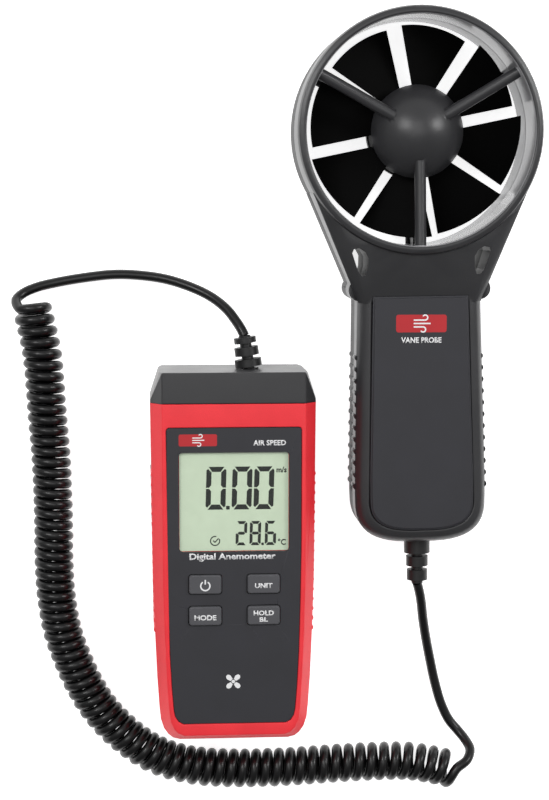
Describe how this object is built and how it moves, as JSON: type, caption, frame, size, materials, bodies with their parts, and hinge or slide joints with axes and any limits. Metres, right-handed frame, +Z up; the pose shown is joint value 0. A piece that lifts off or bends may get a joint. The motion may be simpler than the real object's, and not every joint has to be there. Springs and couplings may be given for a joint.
{
  "type": "vane anemometer",
  "caption": "Hand-held air-speed meter with a display and buttons, joined by a curly cord to a separate handled vane probe with a ducted rotor.",
  "frame": {"origin": "on the ground plane, below the middle of the box round the meter and the probe without the free cord", "axes": "+Z up out of the display and the duct, +Y from the meter's lower end towards the ring, +X to the right as the display is read"},
  "size_m": [0.1557, 0.2379, 0.0287],
  "materials": {
    "red_plastic": "satin moulded ABS, fine texture",
    "dark_plastic": "satin moulded ABS, charcoal",
    "black_plastic": "satin moulded ABS, black",
    "panel_plastic": "matt printed panel, charcoal",
    "button_rubber": "matt silicone rubber, grey",
    "boot_rubber": "satin rubber, black",
    "cord_sheath": "satin polyurethane, black",
    "window_clear": "clear acrylic",
    "lcd_grey": "grey-green liquid crystal cell",
    "diffuser": "white light guide",
    "white_plastic": "white moulded plastic",
    "elastomer": "pink striped elastomer",
    "circuit_board": "green solder mask",
    "chip_plastic": "black moulded chips",
    "steel": "plated steel",
    "brass": "sintered bronze",
    "cell_wrap": "printed sleeve, plain",
    "vane_black": "thin moulded black plastic",
    "magnet": "nickel plate",
    "wire_sleeve": "wire insulation"
  },
  "bodies": {
    "meter": {"meter_front_shell": "red_plastic", "meter_rear_shell": "black_plastic", "meter_top_cap": "dark_plastic", "front_panel": "panel_plastic", "display_window": "window_clear", "lcd_glass": "lcd_grey", "lcd_frame": "white_plastic", "lcd_backlight": "diffuser", "zebra_strip": "elastomer", "main_board": "circuit_board", "board_chips": "chip_plastic", "key_switches": "steel", "buzzer": "chip_plastic", "case_screws": "steel", "board_screws": "steel", "meter_boot": "boot_rubber", "meter_wires": "wire_sleeve", "battery_cells": "cell_wrap", "battery_springs": "steel", "battery_plates": "steel", "cord_lead_meter": "cord_sheath", "cord_coil": "cord_sheath"},
    "battery_cover": {"battery_cover": "black_plastic"},
    "power_button": {"button_power": "button_rubber", "plunger_power": "chip_plastic"},
    "unit_button": {"button_unit": "button_rubber", "plunger_unit": "chip_plastic"},
    "mode_button": {"button_mode": "button_rubber", "plunger_mode": "chip_plastic"},
    "hold_button": {"button_hold": "button_rubber", "plunger_hold": "chip_plastic"},
    "probe": {"probe_front_shell": "dark_plastic", "probe_rear_shell": "black_plastic", "handle_panel": "panel_plastic", "front_bearing": "brass", "rear_bearing": "brass", "pickup_board": "circuit_board", "thermistor": "chip_plastic", "probe_board": "circuit_board", "probe_chips": "chip_plastic", "probe_wires": "wire_sleeve", "probe_screws": "steel", "probe_boot": "boot_rubber", "cord_lead_probe": "cord_sheath"},
    "vane": {"vane_rotor": "vane_black", "rotor_shaft": "steel", "rotor_magnets": "magnet"}
  },
  "joints": [
    {"name": "power_button_press", "type": "slide", "parent": "meter", "child": "power_button", "axis": [0, 0, -1], "range_m": [0, 0.0008], "stiffness_N_per_m": 400},
    {"name": "unit_button_press", "type": "slide", "parent": "meter", "child": "unit_button", "axis": [0, 0, -1], "range_m": [0, 0.0008], "stiffness_N_per_m": 400},
    {"name": "mode_button_press", "type": "slide", "parent": "meter", "child": "mode_button", "axis": [0, 0, -1], "range_m": [0, 0.0008], "stiffness_N_per_m": 400},
    {"name": "hold_button_press", "type": "slide", "parent": "meter", "child": "hold_button", "axis": [0, 0, -1], "range_m": [0, 0.0008], "stiffness_N_per_m": 400},
    {"name": "battery_cover_slide", "type": "slide", "parent": "meter", "child": "battery_cover", "axis": [0, -1, 0], "range_m": [0, 0.0065]},
    {"name": "probe_lift", "type": "slide", "parent": "meter", "child": "probe", "axis": [0, 0, 1], "range_m": [0, 0.06]},
    {"name": "vane_spin", "type": "hinge", "parent": "probe", "child": "vane", "pos_m": [0.0215, 0.0721, 0.0127], "axis": [0, 0, 1], "continuous": true}
  ]
}
